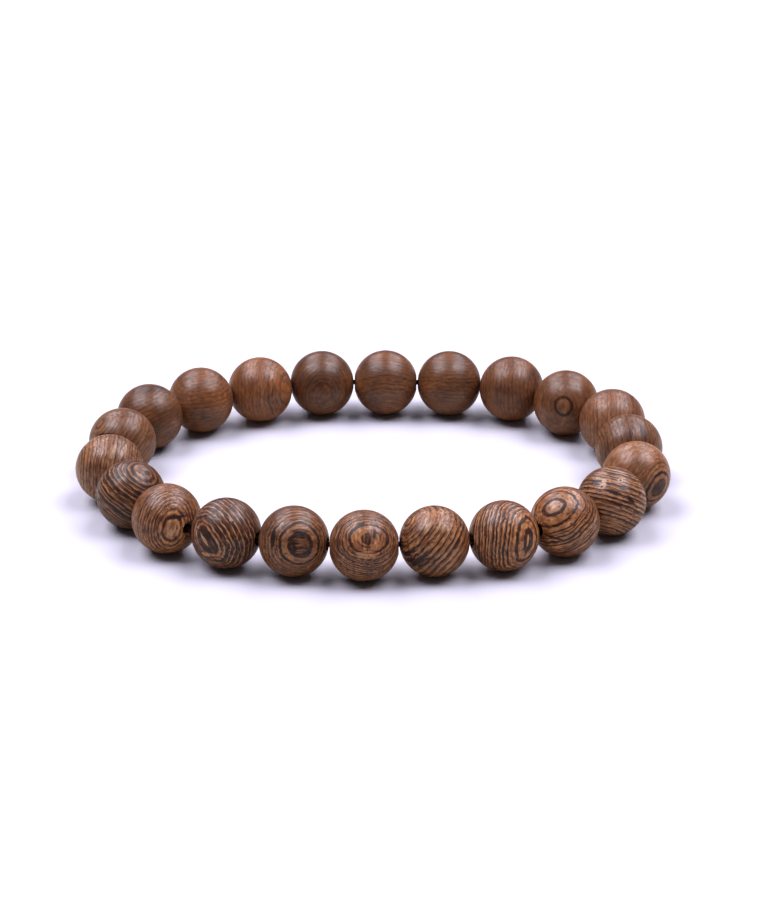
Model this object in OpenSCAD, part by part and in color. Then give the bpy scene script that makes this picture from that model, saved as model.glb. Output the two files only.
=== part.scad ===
// Wooden bead bracelet: turned wenge beads on a hidden elastic thread, lying flat on a table.
// Millimetres, +Z up. The loop's long way is along X, and the origin is under its middle, on the table.

/* [Beads] */
// Number of beads round the loop
bead_count = 22; // [20:1:26]
// Diameter of a bead, measured across its bore
bead_d = 8; // [6:0.5:10]
// How much shorter a bead is along its bore than across it
bead_flat = 0.15; // [0:0.05:0.15]
// Clear gap between two neighbouring beads
bead_gap = 0.05; // [0.05:0.05:0.3]

/* [Bore and thread] */
// Diameter of the hole drilled through a bead
bore_d = 1.2; // [1.1:0.1:1.6]
// Diameter of the countersunk mouth at each end of the hole
mouth_d = 1.7; // [1.4:0.1:2]
// Depth of the countersink
mouth_depth = 0.25; // [0.1:0.05:0.4]
// Diameter of the elastic thread
thread_d = 0.6; // [0.4:0.1:0.7]

/* [Loop] */
// How far the loop is drawn out into an oval, as a share of its mean radius
oval = 0.14; // [0:0.01:0.18]
// Turn of the oval's long axis away from X, in degrees
oval_turn = 2; // [-8:1:8]
// Place of bead 1 round the loop, in degrees from X
first_angle = -144.5; // [-180:0.5:180]
// Unevenness of the hand-laid loop: 0 puts each bead on the oval, 1 nudges it as it lies
unevenness = 1; // [0:0.1:1]

/* [Hidden] */
$fn = 64;

// Each bead from the front left, along the front, round the right end and back along the far side.
// The nudge is in mm on an 8 mm bead, and the yaw turns the bore away from the run of the loop.
NUDGE = 0; // outward from the oval, mm
YAW = 1;   // of the bore, degrees
TONE = 2;  // shade of the wood
LIGHT = 0;
MID = 1;
DARK = 2;
BEADS = [
    [0.2, -5, LIGHT],
    [-0.2, 0, DARK],
    [-0.2, 0, MID],
    [0.4, 0, LIGHT],
    [-0.2, 0, LIGHT],
    [0.2, 0, MID],
    [0.1, 0, LIGHT],
    [0.1, 0, MID],
    [0.1, 0, LIGHT],
    [-0.7, 0, MID],
    [0.4, 0, LIGHT],
    [0, 0, MID],
    [0.4, 0, MID],
    [0, 0, MID],
    [-0.3, 0, MID],
    [0, 0, DARK],
    [-0.3, 0, LIGHT],
    [0, 0, MID],
    [0.5, 0, MID],
    [-0.2, 0, LIGHT],
    [0.2, 0, LIGHT],
    [-0.4, 0, DARK]
];
TONE_COLOURS = ["#a9744a", "#855634", "#5d4234"];
THREAD_COLOUR = "#33221a";
table_bead_d = 8;

pitch = bead_d - bead_flat + bead_gap;
mean_r = bead_count * pitch / (2 * PI);
bisections = 40;

function bead_row(i) = BEADS[i % len(BEADS)];
function nudge(i) = unevenness * bead_row(i)[NUDGE] * bead_d / table_bead_d;

// A bead's centre at a given angle round an oval of mean radius r
function loop_point(i, angle, r) =
    (r * (1 + oval * cos(2 * (angle - oval_turn))) + nudge(i)) * [cos(angle), sin(angle)];

// The angle at which bead i sits one pitch from the bead before it
function next_angle(i, before, r, low, high, steps = bisections) =
    let (angle = (low + high) / 2)
    steps == 0 ? angle
    : norm(loop_point(i, angle, r) - before) < pitch
        ? next_angle(i, before, r, angle, high, steps - 1)
        : next_angle(i, before, r, low, angle, steps - 1);

// The angles of all beads, and of bead 1 again after one round
function loop_angles(r) = [
    for (i = 0, angle = first_angle; i <= bead_count;
         angle = next_angle(i + 1, loop_point(i, angle, r), r, angle, angle + 60), i = i + 1)
        angle
];

// The mean radius at which the string of beads closes on itself
function closing_r(low, high, steps = bisections) =
    let (r = (low + high) / 2)
    steps == 0 ? r
    : loop_angles(r)[bead_count] - first_angle > 360
        ? closing_r(r, high, steps - 1)
        : closing_r(low, r, steps - 1);

loop_r = closing_r(0.8 * mean_r, 1.2 * mean_r);
angles = loop_angles(loop_r);
ring = [for (i = [0 : bead_count - 1]) loop_point(i, angles[i], loop_r)];
ring_x = [for (p = ring) p.x];
ring_y = [for (p = ring) p.y];
middle = [(min(ring_x) + max(ring_x)) / 2, (min(ring_y) + max(ring_y)) / 2];

// Centre of bead i on the table, and the direction of its bore
function centre(i) = let (p = ring[(i + bead_count) % bead_count] - middle) [p.x, p.y, bead_d / 2];
function unit(v) = v / norm(v);
function run(i) = unit(centre(i + 1) - centre(i)) + unit(centre(i) - centre(i - 1));
function heading(i) = atan2(run(i).y, run(i).x) + bead_row(i)[YAW];
function bore_axis(i) = [cos(heading(i)), sin(heading(i)), 0];

// The rounded end of a bead: its height over the bead's centre at radius r from the bore's axis
function end_height(r) = sqrt(pow((bead_d - bead_flat) / 2, 2) - pow(r - bead_flat / 2, 2));
mouth_height = end_height(mouth_d / 2);

function bead_name(i) = str("bead_", i < 9 ? "0" : "", i + 1);

// Half outline of the drill: the bore's wall with a countersink at each end
module drill_profile() {
    over = bead_d;
    outer = mouth_d / 2;
    inner = min(bore_d / 2, outer - 0.05);
    wall = mouth_height - mouth_depth;
    polygon([
        [-over, -over], [outer, -over], [outer, -mouth_height], [inner, -wall],
        [inner, wall], [outer, mouth_height], [outer, over], [-over, over]
    ]);
}

// One drilled bead, slightly flattened towards the ends of its bore, turned about that bore
module bead(i) {
    color(TONE_COLOURS[bead_row(i)[TONE]])
        translate(centre(i)) rotate([0, 90, heading(i)])
            rotate_extrude()
                difference() {
                    translate([bead_flat / 2, 0]) circle(d = bead_d - bead_flat);
                    drill_profile();
                }
}

// The thread's route: each bead's centre, then the middle of the gap between its mouth and the next
function mouth(i, side) = centre(i) + side * mouth_height * bore_axis(i % bead_count);
route = [for (i = [0 : bead_count - 1]) each [centre(i), (mouth(i, 1) + mouth(i + 1, -1)) / 2]];
thread_sides = 8;

// The closed loop of elastic thread, one ring of points at each point of its route
module elastic_thread() {
    n = len(route);
    points = [
        for (k = [0 : n - 1])
            let (
                way = unit(route[(k + 1) % n] - route[k]) + unit(route[k] - route[(k + n - 1) % n]),
                out = unit([way.y, -way.x, 0])
            )
            for (s = [0 : thread_sides - 1])
                let (a = 360 * (s + 0.5) / thread_sides)
                route[k] + thread_d / 2 * (cos(a) * out + sin(a) * [0, 0, 1])
    ];
    faces = [
        for (k = [0 : n - 1]) for (s = [0 : thread_sides - 1])
            let (
                a = k * thread_sides, b = (k + 1) % n * thread_sides,
                s2 = (s + 1) % thread_sides
            )
            each [[a + s, b + s2, b + s], [a + s, a + s2, b + s2]]
    ];
    color(THREAD_COLOUR) polyhedron(points, faces);
}

for (i = [0 : bead_count - 1])
    bead(i);
elastic_thread();
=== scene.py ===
"""Wooden bead bracelet: 22 drilled and polished wenge beads on an elastic thread, laid on a white table."""
import math
from collections import namedtuple

import bpy
from mathutils import Matrix, Vector


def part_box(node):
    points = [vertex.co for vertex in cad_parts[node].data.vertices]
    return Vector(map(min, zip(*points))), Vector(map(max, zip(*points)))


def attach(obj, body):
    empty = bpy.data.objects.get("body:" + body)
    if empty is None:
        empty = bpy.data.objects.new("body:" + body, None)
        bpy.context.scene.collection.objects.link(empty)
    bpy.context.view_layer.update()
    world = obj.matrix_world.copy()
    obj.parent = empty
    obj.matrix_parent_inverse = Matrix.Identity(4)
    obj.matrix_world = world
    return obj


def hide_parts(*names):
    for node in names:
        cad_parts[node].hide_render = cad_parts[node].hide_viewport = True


bl_info = {
    "name": "Wooden Bead Bracelet",
    "version": (1, 0, 0),
    "blender": (4, 5, 0),
    "location": "View3D > Sidebar > Bracelet",
    "description": "Turns, drills and finishes the beads of a wenge bracelet around its packed frame",
    "category": "Add Mesh",
}

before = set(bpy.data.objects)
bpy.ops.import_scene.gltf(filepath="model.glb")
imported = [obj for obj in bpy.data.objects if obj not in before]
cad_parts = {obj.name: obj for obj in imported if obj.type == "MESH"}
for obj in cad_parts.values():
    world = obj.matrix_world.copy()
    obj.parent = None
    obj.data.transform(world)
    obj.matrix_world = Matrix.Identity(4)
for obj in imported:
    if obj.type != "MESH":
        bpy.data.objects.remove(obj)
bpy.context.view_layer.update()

MM = 0.001
TOUCH = 0.001 * MM  # two places nearer than this count as one
BODY = "root"
THREAD_NODE = "elastic_thread"
BEAD_NODES = sorted(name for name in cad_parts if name.startswith("bead_"))
FIRST_LO, FIRST_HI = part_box(BEAD_NODES[0])
BEAD_ACROSS = FIRST_HI.z - FIRST_LO.z
RADIUS_MM = BEAD_ACROSS / 2 / MM


def linear(code):
    """An sRGB hex colour as linear red, green, blue and alpha."""
    parts = [int(code[i:i + 2], 16) / 255 for i in (1, 3, 5)]
    return [c / 12.92 if c <= 0.04045 else ((c + 0.055) / 1.055) ** 2.4 for c in parts] + [1.0]


# Sizes, finishes and studio, as a user would change them

class BeadSizes(bpy.types.PropertyGroup):
    across: bpy.props.FloatProperty(
        name="Across", description="Diameter of a bead, measured across its bore",
        default=BEAD_ACROSS, min=6 * MM, max=10 * MM, subtype="DISTANCE", unit="LENGTH")
    flat: bpy.props.FloatProperty(
        name="Flattening", description="How much shorter a bead is along its bore than across it",
        default=0.15 * MM, min=0.0, max=0.3 * MM, subtype="DISTANCE", unit="LENGTH")
    bore: bpy.props.FloatProperty(
        name="Bore", description="Diameter of the hole drilled through a bead",
        default=1.2 * MM, min=1 * MM, max=1.6 * MM, subtype="DISTANCE", unit="LENGTH")
    mouth: bpy.props.FloatProperty(
        name="Mouth", description="Diameter of the countersunk mouth of the bore",
        default=1.7 * MM, min=1.4 * MM, max=2 * MM, subtype="DISTANCE", unit="LENGTH")
    mouth_depth: bpy.props.FloatProperty(
        name="Countersink", description="Depth of the countersink",
        default=0.25 * MM, min=0.1 * MM, max=0.4 * MM, subtype="DISTANCE", unit="LENGTH")
    rounding: bpy.props.FloatProperty(
        name="Rounding", description="How far the edges of the mouth are polished round",
        default=0.06 * MM, min=0.01 * MM, max=0.08 * MM, subtype="DISTANCE", unit="LENGTH")
    steps: bpy.props.IntProperty(
        name="Steps", description="Faces round a bead, about its bore", default=128, min=24, max=192)
    rings: bpy.props.IntProperty(
        name="Rings", description="Faces round a bead's outline, were it a full circle",
        default=160, min=32, max=224)


class WengeFinish(bpy.types.PropertyGroup):
    tan: bpy.props.FloatVectorProperty(
        name="Tan band", description="Soft tissue between two dark layers, where the wood is palest",
        size=4, subtype="COLOR", min=0, max=1, default=linear("#a97b57"))
    rust: bpy.props.FloatVectorProperty(
        name="Rust edge", description="Heartwood between a soft band and a dark layer, more orange than both",
        size=4, subtype="COLOR", min=0, max=1, default=linear("#7d4f32"))
    dark: bpy.props.FloatVectorProperty(
        name="Dark layer", description="Dense fibre between the soft bands",
        size=4, subtype="COLOR", min=0, max=1, default=linear("#442719"))
    ink: bpy.props.FloatVectorProperty(
        name="Ink layer", description="The densest fibre and the pores, a brown that is nearly black",
        size=4, subtype="COLOR", min=0, max=1, default=linear("#271513"))
    polish: bpy.props.FloatProperty(
        name="Polish", description="Roughness of the waxed wood", default=0.24, min=0.1, max=0.8)
    ior: bpy.props.FloatProperty(
        name="Wax IOR", description="Index of the thin open wax coat, lower than that of a full varnish",
        default=1.4, min=1.2, max=1.6)
    relief: bpy.props.FloatProperty(
        name="Relief", description="Depth of the pores and of the worn soft bands",
        default=0.02 * MM, min=0.0, max=0.1 * MM, subtype="DISTANCE", unit="LENGTH")


class ThreadFinish(bpy.types.PropertyGroup):
    thickness: bpy.props.FloatProperty(
        name="Thickness", description="Diameter of the elastic thread",
        default=0.6 * MM, min=0.4 * MM, max=0.7 * MM, subtype="DISTANCE", unit="LENGTH")
    # Near black: partly the elastic's own dark brown, and partly painted shade, so that the thread between
    # the beads is as dark as the shaded necks
    colour: bpy.props.FloatVectorProperty(
        name="Colour", description="Dark brown covered elastic", size=4, subtype="COLOR", min=0, max=1,
        default=linear("#1d1512"))


class StudioSettings(bpy.types.PropertyGroup):
    floor: bpy.props.FloatVectorProperty(
        name="Table", description="Table top, lit past white, so that only its shaded parts show this cast",
        size=4, subtype="COLOR", min=0, max=1, default=linear("#cbc9d5"))
    bounce: bpy.props.FloatVectorProperty(
        name="Bounce", description="Table top as it lights the beads, warmer than the camera sees it",
        size=4, subtype="COLOR", min=0, max=1, default=linear("#d0cdc8"))
    gleam: bpy.props.FloatVectorProperty(
        name="Gleam", description="Table top as the wax mirrors it, dimmed as through a polarising filter",
        size=4, subtype="COLOR", min=0, max=1, default=linear("#a8a5a0"))
    aim: bpy.props.FloatVectorProperty(
        name="Aim", description="Point that the camera looks at", size=3, subtype="XYZ", unit="LENGTH",
        default=(1.36 * MM, 2.69 * MM, 4 * MM))
    rise: bpy.props.FloatProperty(
        name="Rise", description="Camera angle above the horizon",
        default=math.radians(23.93), subtype="ANGLE", unit="ROTATION")
    distance: bpy.props.FloatProperty(
        name="Distance", description="From the camera to the point it looks at",
        default=376.1 * MM, subtype="DISTANCE", unit="LENGTH")
    lens: bpy.props.FloatProperty(
        name="Lens", description="Focal length on a 36 mm frame, in mm", default=126.96)
    panel_height: bpy.props.FloatProperty(
        name="Panel height", description="Height of the overhead light panels",
        default=1.2, subtype="DISTANCE", unit="LENGTH")
    front_glow: bpy.props.FloatProperty(
        name="Front glow", description="Brightness of the front pair of panels beside a white of 1",
        default=7.75)
    back_glow: bpy.props.FloatProperty(
        name="Back glow", description="Brightness of the back pair of panels", default=3.7)
    light_cast: bpy.props.FloatVectorProperty(
        name="Light cast", description="Colour of the panels' light: a cold white that leans to lavender",
        size=3, subtype="COLOR", min=0, max=2, default=(1, 0.985, 1.09))
    room_glow: bpy.props.FloatProperty(
        name="Room glow", description="Brightness of the room all round", default=0.07)


# Small helpers

def settings(name):
    return getattr(bpy.context.scene, "bracelet_" + name)


def deselect():
    if bpy.context.object and bpy.context.object.mode != "OBJECT":
        bpy.ops.object.mode_set(mode="OBJECT")
    bpy.ops.object.select_all(action="DESELECT")


def node(tree, kind, inputs=(), **values):
    """Adds a shader node, sets its values, and fills its inputs or links them to a node or socket.

    A MapRange takes its value, the span it comes from and the span it goes to. Of a Mix, input 0 is the
    share, inputs 4 and 5 and output 1 are vectors, and inputs 6 and 7 and output 2 are colours."""
    made = tree.nodes.new("ShaderNode" + kind)
    for name, value in values.items():
        setattr(made, name, value)
    for key, value in inputs.items() if isinstance(inputs, dict) else enumerate(inputs):
        if isinstance(value, bpy.types.Node):
            value = value.outputs[0]
        if isinstance(value, bpy.types.NodeSocket):
            tree.links.new(value, made.inputs[key])
        else:
            made.inputs[key].default_value = value
    return made


def new_material(name):
    material = bpy.data.materials.new(name)
    material.use_nodes = True
    material.node_tree.nodes.clear()
    return material, material.node_tree


# Where the beads lie and which way their bores run, read from the frame

# The ends of a bore's wall lie nearer to the bead's centre than this share of its radius, and no other
# point of the bead does
WALL_REACH = 0.965


def bead_centre(index):
    lo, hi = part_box(BEAD_NODES[index % len(BEAD_NODES)])
    return (lo + hi) / 2


def bore_axis(index):
    """Unit vector along a bead's bore, from the rings of points at the ends of the bore's wall."""
    centre = bead_centre(index)
    onward = bead_centre(index + 1) - bead_centre(index - 1)
    axis = Vector()
    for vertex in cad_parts[BEAD_NODES[index % len(BEAD_NODES)]].data.vertices:
        place = vertex.co - centre
        if place.length < WALL_REACH * BEAD_ACROSS / 2:
            axis += place if place.dot(onward) > 0 else -place
    return axis.normalized()


def end_height(sizes, radius):
    """Height of a bead's rounded end over its centre, at a radius from the bore's axis."""
    end_radius = (sizes.across - sizes.flat) / 2
    return math.sqrt(end_radius ** 2 - (radius - sizes.flat / 2) ** 2)


# The beads

WALL_CUTS = 8        # points along the bore's wall
ROUND_STEPS = 3      # faces round a polished edge
CLEAR_OF_EDGE = 1.5  # no point of the outline is nearer to a mouth than this many roundings
BEAD_SMOOTH_BELOW = math.radians(30)


def select_near(piece, places, reach, beyond=-1.0):
    """Selects the vertices that lie within reach of a place, and beyond a nearer limit if one is given."""
    bpy.ops.mesh.select_mode(type="VERT")
    bpy.ops.mesh.select_all(action="DESELECT")
    bpy.ops.object.mode_set(mode="OBJECT")
    for vertex in piece.data.vertices:
        vertex.select = any(beyond < (vertex.co - Vector(place)).length < reach for place in places)
    bpy.ops.object.mode_set(mode="EDIT")


def turn_bead(sizes):
    """One drilled bead at the origin with its bore along Y, turned from its half outline."""
    deselect()
    mouth_r = sizes.mouth / 2
    bore_r = sizes.bore / 2
    mouth_y = end_height(sizes, mouth_r)
    mouths = [(mouth_r, side * mouth_y, 0) for side in (1, -1)]
    bore_ends = [(bore_r, side * (mouth_y - sizes.mouth_depth), 0) for side in (1, -1)]

    # The outside: half a circle, moved out from the bore's axis and cut off at both mouths
    bpy.ops.mesh.primitive_circle_add(
        vertices=sizes.rings, radius=(sizes.across - sizes.flat) / 2, fill_type="NOTHING")
    bead = bpy.context.object
    bpy.ops.object.mode_set(mode="EDIT")
    bpy.ops.mesh.select_all(action="SELECT")
    bpy.ops.mesh.bisect(
        plane_co=(TOUCH, 0, 0), plane_no=(1, 0, 0), clear_inner=True, threshold=TOUCH / 10)
    bpy.ops.mesh.select_all(action="SELECT")
    bpy.ops.transform.translate(value=(sizes.flat / 2, 0, 0))
    for side in (1, -1):
        bpy.ops.mesh.select_all(action="SELECT")
        bpy.ops.mesh.bisect(
            plane_co=(0, side * mouth_y, 0), plane_no=(0, side, 0), clear_outer=True, threshold=TOUCH / 10)
    select_near(bead, mouths, CLEAR_OF_EDGE * sizes.rounding, TOUCH)
    bpy.ops.mesh.dissolve_verts()

    # A countersink at each mouth, and the bore's wall between the two
    for side, mouth in zip((1, -1), mouths):
        select_near(bead, [mouth], TOUCH)
        bpy.ops.mesh.extrude_region_move(
            TRANSFORM_OT_translate={"value": (bore_r - mouth_r, -side * sizes.mouth_depth, 0)})
    select_near(bead, bore_ends, TOUCH)
    bpy.ops.mesh.edge_face_add()
    bpy.ops.mesh.subdivide(number_cuts=WALL_CUTS)

    # Polished edges, then one full turn about the bore
    select_near(bead, bore_ends + mouths, TOUCH)
    bpy.ops.mesh.bevel(offset=sizes.rounding, segments=ROUND_STEPS, affect="VERTICES")
    bpy.ops.mesh.select_all(action="SELECT")
    bpy.ops.mesh.spin(steps=sizes.steps, angle=2 * math.pi, center=(0, 0, 0), axis=(0, 1, 0))
    bpy.ops.mesh.select_all(action="SELECT")
    bpy.ops.mesh.remove_doubles(threshold=TOUCH)
    bpy.ops.mesh.normals_make_consistent(inside=False)
    bpy.ops.object.mode_set(mode="OBJECT")
    return bead


def place_copy(pattern, name, centre, axis):
    """A copy of the pattern bead with its own mesh, its bore turned to the axis and its place in its mesh."""
    deselect()
    pattern.select_set(True)
    bpy.context.view_layer.objects.active = pattern
    bpy.ops.object.duplicate(linked=False)
    bead = bpy.context.object
    bead.name = bead.data.name = name
    bead.rotation_euler = (0, 0, math.atan2(axis.y, axis.x) - math.pi / 2)
    bead.location = centre
    bpy.ops.object.transform_apply(location=True, rotation=True, scale=True)
    bpy.ops.object.shade_smooth_by_angle(angle=BEAD_SMOOTH_BELOW)
    return bead


# The wood of each bead, as read on the photograph

# The kinds of wood, and what each shows: red for solid dark, green for the fine layers, blue for dark
# streaks. One kind runs into the next over twice the zone edge, in degrees.
FINE, FAINT, PALE, DUSKY, DARK, STREAKY = "fine", "faint", "pale", "dusky", "dark", "streaky"
ZONE_COLOURS = {
    FINE: (0, 1, 0.1, 1), FAINT: (0, 0.5, 0.2, 1), PALE: (0, 0.15, 0.15, 1),
    DUSKY: (0.75, 0, 0.2, 1), DARK: (0.9, 0, 0, 1), STREAKY: (0.35, 0, 1, 1)}
ZONE_EDGE = 0.8
PLAIN = ((0, FINE),)

# How a bead is cut from the wood, and how the growth layers show on it
# bearing: clock angle at which the eye of the layers lies, 0 to the right and 90 up
# away: angle of the eye from the camera's line
# grain: clock angle of the grain at the eye
# pitch: from one dark layer to the next, mm on the bead
# dark: share of the pitch that is dark
# gain: how plainly the layers show
# stretch: length of the eye beside its width
# wobble: how far the layers stray
# tone: lightness
# rust: depth of the soft bands' colour
# zones: the angle from the eye at which each kind of wood starts
# cast: how far the wood leans from warm to cool
# deepest: how dark the fine layers grow
Cut = namedtuple(
    "Cut", "bearing away grain pitch dark gain stretch wobble tone rust zones marks cast deepest",
    defaults=(PLAIN, (), 0, 1))

# A patch of a bead
# right, up: its place on the bead's disc, in radii
# length, width: its half sizes, mm
# tilt: clock angle of its length
# rise: how far it lifts the layers, mm
# shade: darkness that it adds
# gain: what it adds to how plainly the layers show
# ruffle: how far it ruffles the layers, mm
Mark = namedtuple("Mark", "right up length width tilt rise shade gain ruffle", defaults=(0, 0, 0, 0))

# Where each effect of a mark starts to fade and where it ends, in shares of the mark, and how ragged
# the mark's outline is
MARK_EDGES = {"rise": (0, 1), "gain": (0.3, 1), "ruffle": (0.4, 1), "shade": (0.8, 1.1)}
MARK_RAGGED = 0.8

CUTS = (
    # 1: a pale eye beside the open hole
    Cut(-63, 20, 80, 0.4, 0.66, 1.0, 1.5, 0.5, 1.04, 0.2,
        zones=((0, PALE), (15, DARK), (19, PALE), (21.5, FINE)),
        marks=(Mark(0.3, 0.03, 1.2, 0.2, 8, shade=0.6), Mark(0.38, -0.3, 1.3, 0.5, 90, shade=-0.4))),
    # 2: a dark eye at the left with pale slivers in it, and broad dark layers
    Cut(-160, 38, 130, 0.58, 0.8, 2.0, 1.7, 0.7, 0.96, 0.1, cast=0.5, deepest=0.82,
        zones=((0, DARK), (15, PALE), (18, DARK), (20, FINE)),
        marks=(Mark(-0.63, -0.16, 0.95, 0.2, -50, shade=-0.9), Mark(-0.6, -0.58, 0.6, 0.25, 15, shade=-1),
               Mark(0.05, 0.4, 0.9, 0.4, -60, rise=0.15))),
    # 3: a streaky eye in dark and pale rings, with a dark patch at its left
    Cut(-29, 12, 0, 0.55, 0.66, 0.85, 1.0, 0.7, 0.73, 0.2,
        zones=((0, STREAKY), (14.5, DARK), (21.5, PALE), (31, DARK), (36, PALE), (38, FINE)),
        marks=(Mark(-0.58, 0.1, 1.24, 0.3, 83, shade=1.2), Mark(0.2, 0.28, 0.9, 0.3, 0, shade=0.5),
               Mark(0, -0.7, 3, 1.1, 0, gain=-0.3))),
    # 4: a small streaky eye in a pale ring and a dark one
    Cut(55, 14, 90, 0.43, 0.66, 1.15, 0.75, 1.0, 1.04, 0.22,
        zones=((0, STREAKY), (13, PALE), (17, STREAKY), (19.5, PALE), (28.5, DARK), (33.5, PALE), (36, FINE)),
        marks=(Mark(0.29, 0.32, 0.5, 0.2, 80, shade=0.5), Mark(0.1, 0.18, 0.8, 0.3, 88, shade=0.3),
               Mark(0.1, -0.25, 1.4, 0.4, 0, shade=-0.5), Mark(-0.2, 0.5, 1.2, 0.25, 40, shade=0.6))),
    # 5: slanting layers, faint at the top and strong and ruffled low on the left
    Cut(145, 68, 60, 0.7, 0.62, 1.0, 1.0, 0.8, 0.96, 0.15,
        marks=(Mark(-0.45, -0.5, 2.6, 1.5, 20, gain=1.4, ruffle=1.4), Mark(0, 0.65, 3.6, 2.0, 0, gain=-0.65),
               Mark(0.6, -0.1, 1.0, 0.35, 45, gain=1), Mark(-0.4, -0.55, 1.8, 0.7, 22, shade=0.3))),
    # 6: a narrow upright eye at the right, with a pale sliver in it
    Cut(-8, 45.5, 90, 0.47, 0.66, 1.4, 2.0, 0.6, 1.11, 0.12,
        zones=((0, DARK), (11.5, PALE), (19.5, DARK), (24.5, PALE), (29, FINE)),
        marks=(Mark(0.67, -0.1, 0.75, 0.12, 90, shade=-0.9),)),
    # 7: a pale eye at the upper left in wide rings
    Cut(130, 32, 22, 0.44, 0.6, 1.25, 1.35, 0.6, 1.12, 0.22,
        zones=((0, PALE), (12, DARK), (17.5, PALE), (29.5, DARK), (33, PALE), (41.5, DARK), (44, PALE),
               (46, FINE)),
        marks=(Mark(-0.2, -0.1, 0.7, 0.14, 20, shade=0.9), Mark(-0.32, -0.45, 1.1, 0.16, -8, shade=0.7))),
    # 8: level layers with dark dashes, and three pinholes with pale rims near the top
    Cut(78, 100, 165, 0.54, 0.66, 1.2, 1.0, 0.38, 0.98, 0.05, cast=0.5,
        marks=(Mark(-0.53, 0.5, 0.9, 0.16, -22, shade=0.6), Mark(0.06, 0.26, 1.0, 0.2, -17, shade=0.8),
               Mark(0.56, 0.04, 0.6, 0.2, -30, shade=0.8), Mark(0.09, 0.77, 0.4, 0.12, -5, shade=0.6),
               Mark(0, -0.55, 3.4, 1.8, 0, gain=-0.4),
               Mark(-0.25, 0.43, 0.5, 0.36, 40, shade=-1), Mark(-0.29, 0.4, 0.17, 0.15, 0, shade=2.5),
               Mark(-0.16, 0.58, 0.6, 0.26, 10, shade=-1), Mark(-0.12, 0.58, 0.14, 0.13, 0, shade=2),
               Mark(0.24, 0.61, 0.34, 0.26, 0, shade=-1), Mark(0.24, 0.6, 0.15, 0.14, 0, shade=2.5))),
    # 9: a dusky eye low on the right, and faint layers away from it
    Cut(-28, 50, 50, 0.62, 0.6, 0.5, 1.4, 0.6, 0.95, 0.22,
        zones=((0, DUSKY), (14, PALE), (19, DARK), (23, PALE), (26, FINE), (44, FAINT))),
    # 10: two dusky upright bands
    Cut(10, 95, 90, 0.55, 0.55, 0.5, 1.0, 0.7, 0.72, 0.3, cast=0.5,
        marks=(Mark(0.02, 0.35, 1.6, 0.3, 80, shade=0.3), Mark(0.42, 0.45, 1.2, 0.35, 100, shade=0.3))),
    # 11: faint upright layers
    Cut(0, 80, 95, 0.55, 0.55, 0.4, 1.3, 0.7, 0.99, 0.35, cast=0.4),
    # 12: a small pale eye in a dusky ring
    Cut(-119, 7, 90, 0.5, 0.55, 0.4, 1.1, 0.6, 0.7, 0.35,
        zones=((0, PALE), (13, DUSKY), (18, FAINT))),
    # 13 to 18: faint layers, whose eye faces the camera only on bead 16
    Cut(180, 85, 90, 0.5, 0.55, 0.4, 1.2, 0.7, 0.82, 0.4),
    Cut(-90, 80, 0, 0.5, 0.55, 0.35, 1.2, 0.7, 0.65, 0.4),
    Cut(90, 100, 0, 0.5, 0.55, 0.35, 1.2, 0.7, 0.7, 0.4),
    Cut(-90, 20, 60, 0.5, 0.55, 0.4, 1.2, 0.7, 0.63, 0.42, zones=((0, FAINT), (14, FINE))),
    Cut(0, 60, 90, 0.5, 0.55, 0.4, 1.4, 0.7, 1.1, 0.4),
    Cut(90, 60, 30, 0.5, 0.55, 0.35, 1.2, 0.7, 0.9, 0.4),
    # 19: a little darker at the top
    Cut(110, 70, 20, 0.5, 0.55, 0.4, 1.2, 0.7, 0.71, 0.4, cast=0.3,
        marks=(Mark(0, 0.85, 2.4, 0.8, 0, shade=0.2),)),
    # 20: two dusky bands that run to the left
    Cut(140, 60, 45, 0.5, 0.55, 0.45, 1.2, 0.7, 0.69, 0.25, cast=0.4,
        marks=(Mark(0.2, 0.75, 1.0, 0.3, 25, shade=0.25), Mark(-0.55, 0.24, 1.4, 0.12, -5, shade=0.4))),
    # 21: steep layers with two pale bands
    Cut(175, 85, 85, 0.48, 0.58, 0.7, 1.2, 0.6, 0.85, 0.15, cast=0.5,
        marks=(Mark(0.12, 0.5, 1.2, 0.2, 70, shade=-0.5), Mark(0.42, 0.5, 1.2, 0.25, 55, shade=-0.5))),
    # 22: a pale eye at the upper right with a dark core
    Cut(59, 49, 120, 0.55, 0.72, 1.4, 1.3, 0.6, 0.78, 0.15,
        zones=((0, PALE), (15, DARK), (20, PALE), (24, FINE)),
        marks=(Mark(0.4, 0.66, 1.0, 0.75, -20, shade=0.3), Mark(0.48, 0.6, 0.36, 0.36, 0, shade=0.8))),
)

# The wood's unevenness, as noise. Each has its frequency per mm across the grain, along it and
# through the layers, and its detail. The finest are about as fine as a pixel of the photograph.
NOISES = {
    "lobes": ((0.3, 0.2, 0.15), 1.0),
    "waves": ((1.0, 0.5, 0.3), 1.0),
    "jag": ((3.6, 1.6, 2.4), 1.0),
    "swell": ((1.5, 0.7, 2.5), 2.0),
    "streak": ((3.2, 0.7, 3.2), 1.0),
    "fleck": ((2.4, 1.2, 5.0), 1.0),
    "fibre": ((5.0, 1.4, 5.0), 1.0),
    "pore": ((3.8, 1.5, 3.8), 1.0),
    "cloud": ((0.4, 0.25, 0.4), 1.0),
}

# How far apart two beads read a noise, two kinds of noise are read, and two beads read their layers
BEAD_SEED, NOISE_SEED, LAYER_SEED = 11.7, 5.3, 3.1

# A noise gathers round a half: these spans hold nearly all of its values, and most of them
NEARLY_ALL = (0.3, 0.7)
MOST = (0.35, 0.65)

# How far each noise makes the layers stray, in mm, and how far from the eye they stray in full, as a
# share of the bead's radius. The jag goes on, weaker, right up to the eye.
SWINGS = (("lobes", 1.2), ("waves", 0.4))
SWING_IN_FULL = 0.8
JAG = 0.2
JAG_IN_FULL = 0.6
JAG_AT_EYE = 0.15

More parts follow.
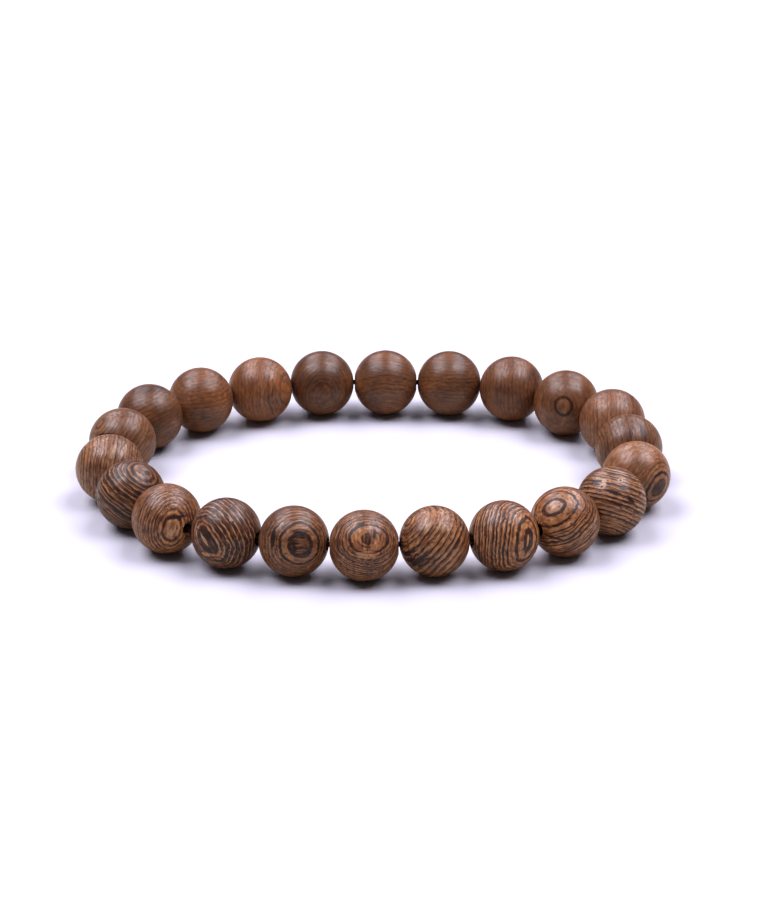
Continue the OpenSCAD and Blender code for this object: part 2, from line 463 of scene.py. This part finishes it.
# A layer, in shares of its pitch: how sharp its edges are, how wide its dark core is, and how much of
# the core is left at its shoulder. Its brown is this deep beside the core.
LAYER_EDGE = 0.05
CORE_WIDTH = 0.4
CORE_SHOULDER, LEFT_AT_SHOULDER = 0.6, 0.7
BROWN = 0.42

# The layers differ: how often they change, per layer, how far they shift, in layers, and over which
# span of their own noise their dark cores come, from the faintest one to a full one. Along a layer,
# its width is read by these factors, which widens or narrows its pale line.
CHANGES_PER_LAYER = 0.7
LAYER_SHIFT = 0.7
CORE_COMES = (0.35, 0.6)
FAINTEST_CORE = 0.25
LAYER_SQUEEZE = (0.8, 1.25)

# Hair lines: how many to a layer, where one starts to fade and where it has faded, from its middle in
# shares of their pitch, the darkness on a line and between two, and where on the waves they come
HAIRS_PER_LAYER = 2.6
HAIR_EDGE = (0.05, 0.3)
HAIR_DEPTH, BETWEEN_HAIRS = 0.5, -0.1
HAIRS_COME = (0.35, 0.6)

# Dark streaks and pores come where their noises rise over these spans
STREAK_EDGE = (0.48, 0.58)
PORE_EDGE = (0.65, 0.7)

# How much darker or lighter stains, flecks and fibres make the wood. Flecks and fibres have a least
# depth, and more is added to it the plainer the detail shows. Pores go nearly to ink.
STAIN = 0.12
FLECK_DEPTH = (0.06, 0.2)
FIBRE_DEPTH = (0.06, 0.16)
PORE_DEPTH = 0.8

# Darkness at which each colour of the wood shows in full
SHADES = ((0.0, "tan"), (0.4, "rust"), (0.8, "dark"), (1.0, "ink"))

# The wood's colour drifts between a warm and a cool cast
WARM_TINT = (1.06, 0.95, 0.78)
COOL_TINT = (0.95, 0.98, 1.12)

# The surface: how far the dark layers stand over the soft ones, as a share of the flecks' relief, how
# strongly that shows, how the roughness strays from the polish, and how much duller the dark layers are
DARK_STANDS = 0.5
RELIEF_STRENGTH = 0.6
POLISH_STRAYS = (-0.04, 0.08)
DARK_DULLNESS = 0.15


def photo_axes(centre):
    """Right, up and towards the camera, as seen on the photograph at a bead's centre."""
    towards = (camera_place() - centre).normalized()
    right = Vector((0, 0, 1)).cross(towards).normalized()
    return right, towards.cross(right), towards


def grain_matrix(centre, out, clock):
    """Across a direction, along it and outwards, as columns. The direction is a clock angle on the photo."""
    right, up, _ = photo_axes(centre)
    along = math.cos(clock) * right + math.sin(clock) * up
    along = (along - along.dot(out) * out).normalized()
    return Matrix((along.cross(out), along, out)).transposed()


def cut_matrix(centre, cut):
    """Across the grain, along the grain and out through the eye."""
    right, up, towards = photo_axes(centre)
    bearing, away = math.radians(cut.bearing), math.radians(cut.away)
    sideways = math.cos(bearing) * right + math.sin(bearing) * up
    return grain_matrix(centre, math.cos(away) * towards + math.sin(away) * sideways, math.radians(cut.grain))


def plainness(cut):
    """How plainly a bead's fine detail shows: as plainly as its layers do, and at most in full."""
    return min(cut.gain, 1)


def wood_noises(tree, wood, index):
    """Every noise of the wood, laid along this bead's grain and different on each bead."""
    noise = {}
    for order, (kind, (frequency, detail)) in enumerate(NOISES.items()):
        seed = (BEAD_SEED * index, NOISE_SEED * order, 0)
        spread = node(tree, "VectorMath", (wood, frequency, seed), operation="MULTIPLY_ADD")
        noise[kind] = node(tree, "TexNoise", {"Vector": spread, "Scale": 1.0, "Detail": detail})
    return noise


def mark_reach(tree, place, centre, mark, ragged):
    """How far a point lies from a mark's middle, where 1 is the mark's edge."""
    right, up, towards = photo_axes(centre)
    facing = math.sqrt(1 - mark.right ** 2 - mark.up ** 2)
    out = mark.right * right + mark.up * up + facing * towards
    local = node(tree, "Mapping", {
        "Vector": place, "Location": centre + BEAD_ACROSS / 2 * out,
        "Rotation": grain_matrix(centre, out, math.radians(mark.tilt)).to_euler(),
        "Scale": (mark.width * MM, mark.length * MM, BEAD_ACROSS / 2)}, vector_type="TEXTURE")
    reach = node(tree, "VectorMath", (local,), operation="LENGTH").outputs["Value"]
    return node(tree, "Math", (reach, ragged), operation="ADD")


def mark_effect(tree, mark, reach, effect):
    """How much of one of its effects a mark has at a point: all in its middle, none past its edge."""
    return node(tree, "MapRange", (reach, *MARK_EDGES[effect], getattr(mark, effect), 0),
                interpolation_type="SMOOTHSTEP")


def layer_stray(tree, wood, noise, cut):
    """How far the layers stray at a point, in mm, which fades towards the eye's own middle."""
    stray = -cut.wobble * sum(reach for _, reach in SWINGS) / 2
    for kind, reach in SWINGS:
        stray = node(tree, "Math", (noise[kind], cut.wobble * reach, stray), operation="MULTIPLY_ADD")
    flat = node(tree, "VectorMath", (wood, (1, 1, 0)), operation="MULTIPLY")
    out_square = node(tree, "VectorMath", (flat, flat), operation="DOT_PRODUCT").outputs["Value"]
    fade = node(tree, "MapRange", (out_square, 0, (SWING_IN_FULL * RADIUS_MM) ** 2))
    stray = node(tree, "Math", (stray, fade), operation="MULTIPLY")
    jag_fade = node(tree, "MapRange", (
        out_square, 0, (JAG_IN_FULL * RADIUS_MM) ** 2, JAG_AT_EYE * cut.wobble, cut.wobble))
    jag = node(tree, "Math", (noise["jag"], JAG, -JAG / 2), operation="MULTIPLY_ADD")
    return node(tree, "Math", (jag, jag_fade, stray), operation="MULTIPLY_ADD")


def eye_angle(tree, wood, noise, cut, reaches):
    """Angle from the eye, as the layers count it: they lie in shells that are longer along the grain."""
    axis = node(tree, "SeparateXYZ", (wood,)).outputs
    along_square = node(tree, "Math", (axis[1], axis[1]), operation="MULTIPLY")
    sag = (1 - 1 / cut.stretch ** 2) / (2 * RADIUS_MM)
    level = node(tree, "Math", (along_square, sag, axis[2]), operation="MULTIPLY_ADD")
    level = node(tree, "Math", (level, layer_stray(tree, wood, noise, cut)), operation="ADD")
    for mark, reach in reaches:
        if mark.rise:
            lift = mark_effect(tree, mark, reach, "rise")
            level = node(tree, "Math", (level, lift), operation="SUBTRACT")
        if mark.ruffle:
            far = mark_effect(tree, mark, reach, "ruffle")
            ruffled = node(tree, "Math", (noise["swell"], 0.5), operation="SUBTRACT")
            level = node(tree, "Math", (ruffled, far, level), operation="MULTIPLY_ADD")
    cosine = node(tree, "Math", (level, RADIUS_MM), operation="DIVIDE")
    return node(tree, "Math", (cosine,), operation="ARCCOSINE")


def layer_ramp(tree, turn, pale):
    """One layer, from the start of its pale line: red where it is brown, green where it has its dark core."""
    ramp = node(tree, "ValToRGB", (turn,))
    stops = ramp.color_ramp.elements
    stops[0].position, stops[0].color = pale - LAYER_EDGE, (0, 0, 0, 1)
    stops[1].position, stops[1].color = 1, (0, 0, 0, 1)
    for position, core in (
            (pale + LAYER_EDGE, 1), (pale + CORE_SHOULDER * CORE_WIDTH, LEFT_AT_SHOULDER),
            (pale + CORE_WIDTH, 0), (1 - LAYER_EDGE, 0)):
        stops.new(position).color = (1, core, 0, 1)
    return node(tree, "SeparateColor", (ramp,)).outputs


def fine_layers(tree, angle, noise, index, cut):
    """Darkness of the fine layers outwards from the eye: a pale line, a dark core, then brown.

    Their pitch and strength are uneven from layer to layer, and hair lines lie between them."""
    pitch_angle = cut.pitch / RADIUS_MM
    changes = node(tree, "Math", (angle, CHANGES_PER_LAYER / pitch_angle, LAYER_SEED * index),
                   operation="MULTIPLY_ADD")
    uneven = node(tree, "TexNoise", {"W": changes, "Scale": 1.0, "Detail": 0.0}, noise_dimensions="1D")
    shift = node(tree, "Math", (uneven, LAYER_SHIFT), operation="MULTIPLY")
    turns = node(tree, "Math", (angle, 1 / pitch_angle, shift), operation="MULTIPLY_ADD")
    turn = node(tree, "Math", (turns,), operation="FRACT")
    squeeze = node(tree, "MapRange", (noise["swell"], *NEARLY_ALL, *LAYER_SQUEEZE))
    turn = node(tree, "Math", (turn, squeeze), operation="MULTIPLY")
    layer = layer_ramp(tree, turn, 1 - cut.dark)
    strength = node(tree, "SeparateColor", (uneven.outputs["Color"],)).outputs[1]
    strength = node(tree, "MapRange", (strength, *CORE_COMES, FAINTEST_CORE, 1))
    core = node(tree, "Math", (layer[1], strength), operation="MULTIPLY")
    core = node(tree, "Math", (core, (1 - BROWN) * cut.gain), operation="MULTIPLY")
    fine = node(tree, "Math", (layer[0], BROWN * cut.gain, core), operation="MULTIPLY_ADD")
    return add_hair_lines(tree, turns, fine, noise, cut)


def add_hair_lines(tree, turns, fine, noise, cut):
    """The fine layers' darkness with hair lines between them, which come and go."""
    hair_turns = node(tree, "Math", (turns, HAIRS_PER_LAYER), operation="MULTIPLY")
    hair = node(tree, "Math", (hair_turns, 0.5), operation="PINGPONG")
    hair = node(tree, "MapRange", (
        hair, *HAIR_EDGE, HAIR_DEPTH * plainness(cut), BETWEEN_HAIRS * plainness(cut)))
    come = node(tree, "MapRange", (noise["waves"], *HAIRS_COME))
    return node(tree, "Math", (hair, come, fine), operation="MULTIPLY_ADD")


def zone_ramp(tree, angle, cut):
    """The kinds of wood round the eye, by angle from it."""
    half_turn_share = node(tree, "Math", (angle, math.pi), operation="DIVIDE")
    ramp = node(tree, "ValToRGB", (half_turn_share,))
    stops = ramp.color_ramp.elements
    stops[0].position, stops[0].color = 0, ZONE_COLOURS[cut.zones[0][1]]
    stops.remove(stops[1])
    for (_, before), (degrees, after) in zip(cut.zones, cut.zones[1:]):
        for position, kind in ((degrees - ZONE_EDGE, before), (degrees + ZONE_EDGE, after)):
            stops.new(position / 180).color = ZONE_COLOURS[kind]
    return node(tree, "SeparateColor", (ramp,)).outputs


def wood_darkness(tree, angle, noise, index, cut, reaches):
    """How dark the wood is at a point, 0 for the palest soft band and 1 for ink."""
    fine = fine_layers(tree, angle, noise, index, cut)
    boost = 1.0
    for mark, reach in reaches:
        if mark.gain:
            boost = node(tree, "Math", (boost, mark_effect(tree, mark, reach, "gain")), operation="ADD")
    fine = node(tree, "Math", (fine, boost), operation="MULTIPLY")
    fine = node(tree, "Math", (fine, cut.deepest), operation="MINIMUM")
    solid, layered, streaked = zone_ramp(tree, angle, cut)
    fine = node(tree, "Math", (fine, layered), operation="MULTIPLY")
    streaks = node(tree, "MapRange", (noise["streak"], *STREAK_EDGE), interpolation_type="SMOOTHSTEP")
    streaks = node(tree, "Math", (streaks, streaked), operation="MULTIPLY")
    darkness = node(tree, "Math", (fine, solid), operation="MAXIMUM")
    darkness = node(tree, "Math", (darkness, streaks), operation="MAXIMUM")
    stained = node(tree, "MapRange", (noise["cloud"], *MOST, cut.rust - STAIN, cut.rust + STAIN))
    darkness = node(tree, "MapRange", (darkness, 0, 1, stained, 1))
    for mark, reach in reaches:
        if mark.shade:
            shade = mark_effect(tree, mark, reach, "shade")
            darkness = node(tree, "Math", (darkness, shade), operation="ADD")
    depth = FLECK_DEPTH[0] + FLECK_DEPTH[1] * plainness(cut)
    flecks = node(tree, "MapRange", (noise["fleck"], *NEARLY_ALL, -depth, depth))
    return node(tree, "Math", (darkness, flecks), operation="ADD", use_clamp=True)


def wood_colour(tree, darkness, noise, cut, finish, pore):
    """Tan in the soft bands, rust at their edges, then brown and ink in the dark layers and pores."""
    grade = node(tree, "ValToRGB", (darkness,))
    for position, _ in SHADES[1:-1]:
        grade.color_ramp.elements.new(position)
    for stop, (_, shade) in zip(grade.color_ramp.elements, SHADES):
        stop.color = [cut.tone * c for c in getattr(finish, shade)[:3]] + [1.0]
    depth = FIBRE_DEPTH[0] + FIBRE_DEPTH[1] * plainness(cut)
    fibres = node(tree, "MapRange", (noise["fibre"], *NEARLY_ALL, 1 - depth, 1 + depth))
    colour = node(tree, "VectorMath", {0: grade, "Scale": fibres}, operation="SCALE")
    drift = node(tree, "SeparateColor", (noise["cloud"].outputs["Color"],)).outputs[1]
    coolness = node(tree, "MapRange", (drift, *MOST, cut.cast, 1 + cut.cast))
    tint = node(tree, "Mix", {0: coolness, 4: WARM_TINT, 5: COOL_TINT}, data_type="VECTOR").outputs[1]
    colour = node(tree, "VectorMath", (colour, tint), operation="MULTIPLY")
    return node(tree, "Mix", {0: pore, 6: colour, 7: finish.ink}, data_type="RGBA").outputs[2]


def wenge(name, index, centre, cut, finish):
    """Wenge, a hardwood of thin dark layers between pale soft ones, turned, sanded and waxed to a satin.

    Its soft bands wear a little lower than the dark layers, and its pores are open."""
    material, tree = new_material(name)
    place = node(tree, "TexCoord").outputs["Object"]
    wood = node(tree, "Mapping", {
        "Vector": place, "Location": centre, "Rotation": cut_matrix(centre, cut).to_euler(),
        "Scale": (MM, MM, MM)}, vector_type="TEXTURE")
    noise = wood_noises(tree, wood, index)
    ragged = node(tree, "Math", (noise["jag"], MARK_RAGGED, -MARK_RAGGED / 2), operation="MULTIPLY_ADD")
    reaches = [(mark, mark_reach(tree, place, centre, mark, ragged)) for mark in cut.marks]
    angle = eye_angle(tree, wood, noise, cut, reaches)
    darkness = wood_darkness(tree, angle, noise, index, cut, reaches)
    pore = node(tree, "MapRange", (noise["pore"], *PORE_EDGE, 0, PORE_DEPTH * plainness(cut)))
    colour = wood_colour(tree, darkness, noise, cut, finish, pore)
    height = node(tree, "Math", (darkness, DARK_STANDS, noise["fleck"]), operation="MULTIPLY_ADD")
    height = node(tree, "Math", (height, pore), operation="SUBTRACT")
    bump = node(tree, "Bump", {"Strength": RELIEF_STRENGTH, "Distance": finish.relief, "Height": height})
    glossiest, dullest = (finish.polish + change for change in POLISH_STRAYS)
    roughness = node(tree, "MapRange", (noise["fleck"], *NEARLY_ALL, glossiest, dullest))
    roughness = node(tree, "Math", (darkness, DARK_DULLNESS, roughness), operation="MULTIPLY_ADD")
    surface = node(tree, "BsdfPrincipled", {
        "Base Color": colour, "Roughness": roughness, "IOR": finish.ior, "Normal": bump})
    node(tree, "OutputMaterial", {"Surface": surface})
    return material


class BRACELET_OT_beads(bpy.types.Operator):
    """Turns one drilled bead, copies it to every place round the loop and finishes each in its own wood"""
    bl_idname = "bracelet.beads"
    bl_label = "Turned Beads"

    def execute(self, context):
        finish = settings("wenge")
        pattern = turn_bead(settings("beads"))
        for index, (cad_name, cut) in enumerate(zip(BEAD_NODES, CUTS)):
            centre = bead_centre(index)
            bead = place_copy(pattern, cad_name.replace("bead_", "turned_bead_"), centre, bore_axis(index))
            material_name = cad_name.replace("bead_", "waxed_wenge_")
            bead.data.materials.append(wenge(material_name, index, centre, cut, finish))
            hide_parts(cad_name)
            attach(bead, BODY)
        bpy.data.objects.remove(pattern)
        return {"FINISHED"}


# The thread

YARN = 0.12 * MM          # width of one turn of the yarn that covers the elastic
YARN_RELIEF = 0.03 * MM
YARN_SHADES = (0.6, 1.5)  # the darkest and the lightest yarn, beside the thread's colour
THREAD_SMOOTH_BELOW = math.radians(60)


def thread_route(sizes):
    """Each bead's centre, then the middle of the gap between its mouth and the next bead's."""
    reach = end_height(sizes, sizes.mouth / 2)
    route = []
    for index in range(len(BEAD_NODES)):
        leaving = bead_centre(index) + reach * bore_axis(index)
        entering = bead_centre(index + 1) - reach * bore_axis(index + 1)
        route += [bead_centre(index), (leaving + entering) / 2]
    return route


def covered_elastic(finish):
    """Covered elastic: a rubber core wound with fine brown yarn, which keeps it dull and a little rough."""
    material, tree = new_material("covered_elastic")
    place = node(tree, "TexCoord").outputs["Object"]
    yarn = node(tree, "TexNoise", {"Vector": place, "Scale": 1 / YARN, "Detail": 2.0})
    shade = node(tree, "MapRange", (yarn, *NEARLY_ALL, *YARN_SHADES))
    # The thread's colour is partly its own dark brown and partly painted shade for the necks between the
    # beads
    colour = node(tree, "VectorMath", {0: finish.colour[:3], "Scale": shade}, operation="SCALE")
    bump = node(tree, "Bump", {"Strength": 0.7, "Distance": YARN_RELIEF, "Height": yarn})
    surface = node(tree, "BsdfPrincipled", {
        "Base Color": colour, "Roughness": 0.9, "Specular IOR Level": 0.2, "Normal": bump})
    node(tree, "OutputMaterial", {"Surface": surface})
    return material


class BRACELET_OT_thread(bpy.types.Operator):
    """Runs the elastic thread through every bore as one smooth closed loop"""
    bl_idname = "bracelet.thread"
    bl_label = "Elastic Thread"

    def execute(self, context):
        deselect()
        finish = settings("thread")
        route = thread_route(settings("beads"))
        bpy.ops.mesh.primitive_circle_add(vertices=len(route), radius=BEAD_ACROSS)
        thread = context.object
        thread.name = thread.data.name = "covered_thread"
        for vertex, place in zip(thread.data.vertices, route):
            vertex.co = place
        bpy.ops.object.convert(target="CURVE")
        curve = context.object.data
        curve.bevel_depth = finish.thickness / 2
        curve.bevel_resolution = 4
        for spline in curve.splines:
            spline.type = "NURBS"
            spline.use_cyclic_u = True
            spline.order_u = 4
            spline.resolution_u = 4
        bpy.ops.object.convert(target="MESH")
        thread = context.object
        bpy.ops.object.shade_smooth_by_angle(angle=THREAD_SMOOTH_BELOW)
        thread.data.materials.clear()
        thread.data.materials.append(covered_elastic(finish))
        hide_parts(THREAD_NODE)
        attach(thread, BODY)
        return {"FINISHED"}


# The table, the lights and the camera

# The edges of the four light panels, as tangents off the zenith: to each side from near to far, and
# in two rows from the front, which is towards the camera, over the middle to the back
PANEL_NEAR, PANEL_FAR = 0.2, 1.0
PANEL_FRONT, PANEL_MIDDLE, PANEL_BACK = -0.31, 0.35, 2.0
TABLE_WIDTH = 6


def camera_place():
    studio = settings("studio")
    back = Vector((0, -math.cos(studio.rise), math.sin(studio.rise)))
    return Vector(studio.aim) + studio.distance * back


def white_table(studio):
    """Sheet of matt white acrylic, lit past white, so that only its shaded parts show their cool cast.

    It lights the beads warmer than the camera sees it, and their wax mirrors it dimmer."""
    material, tree = new_material("matt_white_acrylic")
    ray = node(tree, "LightPath").outputs
    unseen = node(tree, "Mix", {
        0: ray["Is Glossy Ray"], 6: studio.bounce, 7: studio.gleam}, data_type="RGBA").outputs[2]
    colour = node(tree, "Mix", {
        0: ray["Is Camera Ray"], 6: unseen, 7: studio.floor}, data_type="RGBA").outputs[2]
    surface = node(tree, "BsdfPrincipled", {
        "Base Color": colour, "Roughness": 0.9, "Specular IOR Level": 0.2})
    node(tree, "OutputMaterial", {"Surface": surface})
    return material


def light_panel(name, studio, glow, low, high):
    """A soft panel overhead, facing down, from its low corner to its high one as tangents off the zenith."""
    deselect()
    height = studio.panel_height
    middle = [height * (a + b) / 2 for a, b in zip(low, high)]
    bpy.ops.object.light_add(type="AREA", location=(*middle, height))
    panel = bpy.context.object
    panel.name = panel.data.name = name
    panel.data.shape = "RECTANGLE"
    panel.data.size = height * (high[0] - low[0])
    panel.data.size_y = height * (high[1] - low[1])
    panel.data.energy = glow * math.pi * panel.data.size * panel.data.size_y
    panel.data.color = studio.light_cast


def light_room(studio):
    """A dim white room all round, which the camera sees as plain white."""
    world = bpy.data.worlds.new("pale_room")
    bpy.context.scene.world = world
    world.use_nodes = True
    tree = world.node_tree
    tree.nodes.clear()
    seen = node(tree, "LightPath").outputs["Is Camera Ray"]
    glow = node(tree, "MapRange", {0: seen, 3: studio.room_glow, 4: 1.0})
    room = node(tree, "Background", {0: (1, 1, 1, 1), 1: glow})
    node(tree, "OutputWorld", (room,))


def add_camera(studio):
    """The camera at the photograph's viewing angle."""
    bpy.ops.object.camera_add(location=camera_place())
    camera = bpy.context.object
    camera.name = "photo_camera"
    camera.rotation_euler = (Vector(studio.aim) - camera.location).to_track_quat("-Z", "Y").to_euler()
    camera.data.lens = studio.lens
    camera.data.clip_start = 10 * MM
    bpy.context.scene.camera = camera


class BRACELET_OT_studio(bpy.types.Operator):
    """Lays the table and sets the four overhead panels, the room and the camera of the photograph"""
    bl_idname = "bracelet.studio"
    bl_label = "Table, Lights and Camera"

    def execute(self, context):
        deselect()
        studio = settings("studio")
        bpy.ops.mesh.primitive_plane_add(size=TABLE_WIDTH)
        table = context.object
        table.name = "table_top"
        table.data.materials.append(white_table(studio))
        for row, glow, start, end in (
                ("front", studio.front_glow, PANEL_FRONT, PANEL_MIDDLE),
                ("back", studio.back_glow, PANEL_MIDDLE, PANEL_BACK)):
            light_panel(row + "_left_panel", studio, glow, (-PANEL_FAR, start), (-PANEL_NEAR, end))
            light_panel(row + "_right_panel", studio, glow, (PANEL_NEAR, start), (PANEL_FAR, end))
        light_room(studio)
        add_camera(studio)
        context.scene.view_settings.view_transform = "Standard"
        return {"FINISHED"}


class VIEW3D_PT_bracelet(bpy.types.Panel):
    bl_idname = "VIEW3D_PT_bracelet"
    bl_label = "Wooden Bead Bracelet"
    bl_space_type = "VIEW_3D"
    bl_region_type = "UI"
    bl_category = "Bracelet"

    def draw(self, context):
        for name, (group, operator) in SECTIONS.items():
            box = self.layout.box()
            values = settings(name)
            for prop in group.__annotations__:
                box.prop(values, prop)
            if operator:
                box.operator(operator.bl_idname)


SECTIONS = {
    "wenge": (WengeFinish, None),
    "beads": (BeadSizes, BRACELET_OT_beads),
    "thread": (ThreadFinish, BRACELET_OT_thread),
    "studio": (StudioSettings, BRACELET_OT_studio),
}


def register():
    for name, (group, operator) in SECTIONS.items():
        bpy.utils.register_class(group)
        setattr(bpy.types.Scene, "bracelet_" + name, bpy.props.PointerProperty(type=group))
        if operator:
            bpy.utils.register_class(operator)
    bpy.utils.register_class(VIEW3D_PT_bracelet)


def unregister():
    bpy.utils.unregister_class(VIEW3D_PT_bracelet)
    for name, (group, operator) in reversed(SECTIONS.items()):
        if operator:
            bpy.utils.unregister_class(operator)
        delattr(bpy.types.Scene, "bracelet_" + name)
        bpy.utils.unregister_class(group)


def main():
    register()
    bpy.ops.bracelet.beads()
    bpy.ops.bracelet.thread()
    bpy.ops.bracelet.studio()


if __name__ == "__main__":
    main()
